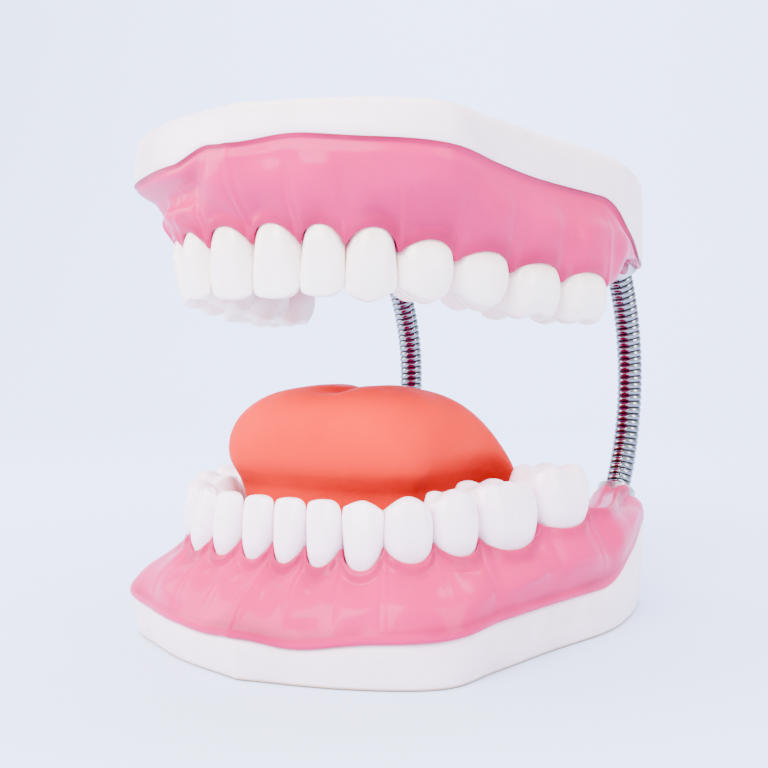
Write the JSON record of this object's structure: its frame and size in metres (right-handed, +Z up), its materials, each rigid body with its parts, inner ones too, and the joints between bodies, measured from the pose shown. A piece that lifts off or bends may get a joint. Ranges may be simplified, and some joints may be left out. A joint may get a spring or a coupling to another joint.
{
  "type": "typodont model",
  "caption": "Enlarged demonstration model of a mouth: two jaws with separate teeth, a tongue, and a pair of flexible necks that let the upper jaw open and close.",
  "frame": {"origin": "middle of the whole model's plan at the level of the lower flat face", "axes": "+Z up, +Y from the front teeth towards the necks at the back, +X towards the model's own left side"},
  "size_m": [0.1208, 0.1559, 0.1405],
  "materials": {
    "base_resin": "off-white cast resin, satin",
    "cover_board": "thin tan cover board",
    "gum_resin": "pink cast resin, glossy lacquer",
    "tongue_rubber": "soft matte salmon-red rubber",
    "lower_enamel": "cool white moulded tooth resin, satin gloss",
    "upper_enamel": "warm white moulded tooth resin, satin gloss",
    "socket_steel": "plated steel insert",
    "ferrule_steel": "crimped plated steel",
    "neck_chrome": "bright chrome-plated spring wire",
    "core_steel": "spring steel wire"
  },
  "bodies": {
    "lower_jaw": {"lower_base": "base_resin", "lower_cover_plate": "cover_board", "lower_gum": "gum_resin", "tongue": "tongue_rubber", "lower_right_central_incisor": "lower_enamel", "lower_right_lateral_incisor": "lower_enamel", "lower_right_canine": "lower_enamel", "lower_right_first_premolar": "lower_enamel", "lower_right_second_premolar": "lower_enamel", "lower_right_first_molar": "lower_enamel", "lower_right_second_molar": "lower_enamel", "lower_left_central_incisor": "lower_enamel", "lower_left_lateral_incisor": "lower_enamel", "lower_left_canine": "lower_enamel", "lower_left_first_premolar": "lower_enamel", "lower_left_second_premolar": "lower_enamel", "lower_left_first_molar": "lower_enamel", "lower_left_second_molar": "lower_enamel", "lower_neck_sockets": "socket_steel", "lower_neck_ferrules": "ferrule_steel", "right_neck_coil": "neck_chrome", "left_neck_coil": "neck_chrome", "right_neck_core": "core_steel", "left_neck_core": "core_steel"},
    "upper_jaw": {"upper_base": "base_resin", "upper_cover_plate": "cover_board", "upper_gum": "gum_resin", "upper_right_central_incisor": "upper_enamel", "upper_right_lateral_incisor": "upper_enamel", "upper_right_canine": "upper_enamel", "upper_right_first_premolar": "upper_enamel", "upper_right_second_premolar": "upper_enamel", "upper_right_first_molar": "upper_enamel", "upper_right_second_molar": "upper_enamel", "upper_left_central_incisor": "upper_enamel", "upper_left_lateral_incisor": "upper_enamel", "upper_left_canine": "upper_enamel", "upper_left_first_premolar": "upper_enamel", "upper_left_second_premolar": "upper_enamel", "upper_left_first_molar": "upper_enamel", "upper_left_second_molar": "upper_enamel", "upper_neck_sockets": "socket_steel", "upper_neck_ferrules": "ferrule_steel"}
  },
  "joints": [
    {"name": "jaw_bend", "type": "hinge", "parent": "lower_jaw", "child": "upper_jaw", "pos_m": [0, 0.07366, 0.07036], "axis": [1, 0, 0], "range_deg": [-40, 18], "deforming": ["right_neck_coil", "left_neck_coil", "right_neck_core", "left_neck_core"]}
  ]
}
